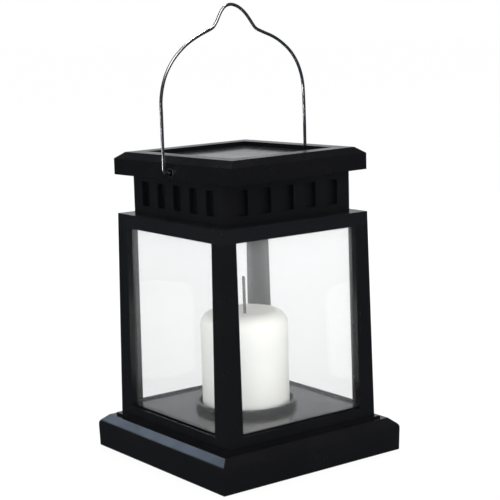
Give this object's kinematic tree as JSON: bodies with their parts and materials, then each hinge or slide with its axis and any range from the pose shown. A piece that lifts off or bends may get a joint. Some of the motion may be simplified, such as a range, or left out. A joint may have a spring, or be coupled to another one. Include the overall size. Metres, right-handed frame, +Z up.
{
  "type": "solar lantern",
  "caption": "Square table lantern with a wide plinth, clear windows round an LED candle, a slotted neck, a twist-on solar cap and a swinging wire bail.",
  "frame": {"origin": "middle of the footprint, on the surface that the rubber feet stand on", "axes": "+Z up, -Y towards the front, +X to the right seen from the front"},
  "size_m": [0.115, 0.115, 0.2356],
  "materials": {
    "black_plastic": "satin black moulded ABS with a soft sheen",
    "inner_plastic": "black moulded plastic, slightly duller",
    "rubber": "matt black rubber",
    "screw_steel": "zinc-plated steel",
    "spring_steel": "nickel-plated spring steel",
    "cell_wrap": "plain shrink wrap, no marks",
    "fibreglass": "solder-masked circuit board",
    "clear_sheet": "clear polystyrene sheet, polished",
    "wax": "off-white translucent wax-like plastic",
    "wick": "grey moulded rod",
    "amber_lens": "tinted clear epoxy",
    "lead_jacket": "soft vinyl insulation",
    "sealant": "black sealant",
    "silicon": "dark blue solar cell with silver fingers",
    "bail_wire": "bright plated steel wire"
  },
  "bodies": {
    "root": {"plinth": "black_plastic", "base_cover": "black_plastic", "battery_door": "black_plastic", "sill_frame": "black_plastic", "top_frame": "black_plastic", "neck": "black_plastic", "corner_post_front_left": "black_plastic", "corner_post_front_right": "black_plastic", "corner_post_rear_right": "black_plastic", "corner_post_rear_left": "black_plastic", "battery_cradle": "inner_plastic", "candle_tray": "inner_plastic", "rubber_foot_1": "rubber", "rubber_foot_2": "rubber", "rubber_foot_3": "rubber", "rubber_foot_4": "rubber", "battery_door_screw": "screw_steel", "switch_housing": "screw_steel", "base_screw_1": "screw_steel", "base_screw_2": "screw_steel", "base_screw_3": "screw_steel", "base_screw_4": "screw_steel", "neck_screw_1": "screw_steel", "neck_screw_2": "screw_steel", "neck_screw_3": "screw_steel", "neck_screw_4": "screw_steel", "battery_contact_plate": "spring_steel", "battery_contact_spring": "spring_steel", "battery_cell": "cell_wrap", "circuit_board": "fibreglass", "led_board": "fibreglass", "window_pane_front": "clear_sheet", "window_pane_rear": "clear_sheet", "window_pane_left": "clear_sheet", "window_pane_right": "clear_sheet", "candle_shell": "wax", "wick": "wick", "led": "amber_lens", "led_lead": "lead_jacket", "panel_lead": "lead_jacket"},
    "cap": {"cap": "black_plastic", "cap_base_plate": "black_plastic", "cap_screw_1": "screw_steel", "cap_screw_2": "screw_steel", "cap_screw_3": "screw_steel", "cap_screw_4": "screw_steel", "panel_seal": "sealant", "panel_board": "inner_plastic", "solar_cell_1": "silicon", "solar_cell_2": "silicon", "solar_cell_3": "silicon", "solar_cell_4": "silicon", "panel_glass": "clear_sheet", "bail_bush_left": "inner_plastic", "bail_bush_right": "inner_plastic"},
    "bail": {"bail": "bail_wire"},
    "switch_knob": {"switch_knob": "black_plastic"}
  },
  "joints": [
    {"name": "cap_twist", "type": "hinge", "parent": "root", "child": "cap", "pos_m": [0, 0, 0.1486], "axis": [0, 0, 1], "range_deg": [-5, 25]},
    {"name": "bail_swing", "type": "hinge", "parent": "cap", "child": "bail", "pos_m": [0, 0, 0.152], "axis": [0.9962, 0.0872, 0], "range_deg": [-80, 80]},
    {"name": "switch_slide", "type": "slide", "parent": "root", "child": "switch_knob", "axis": [1, 0, 0], "range_m": [0, 0.0025]}
  ]
}
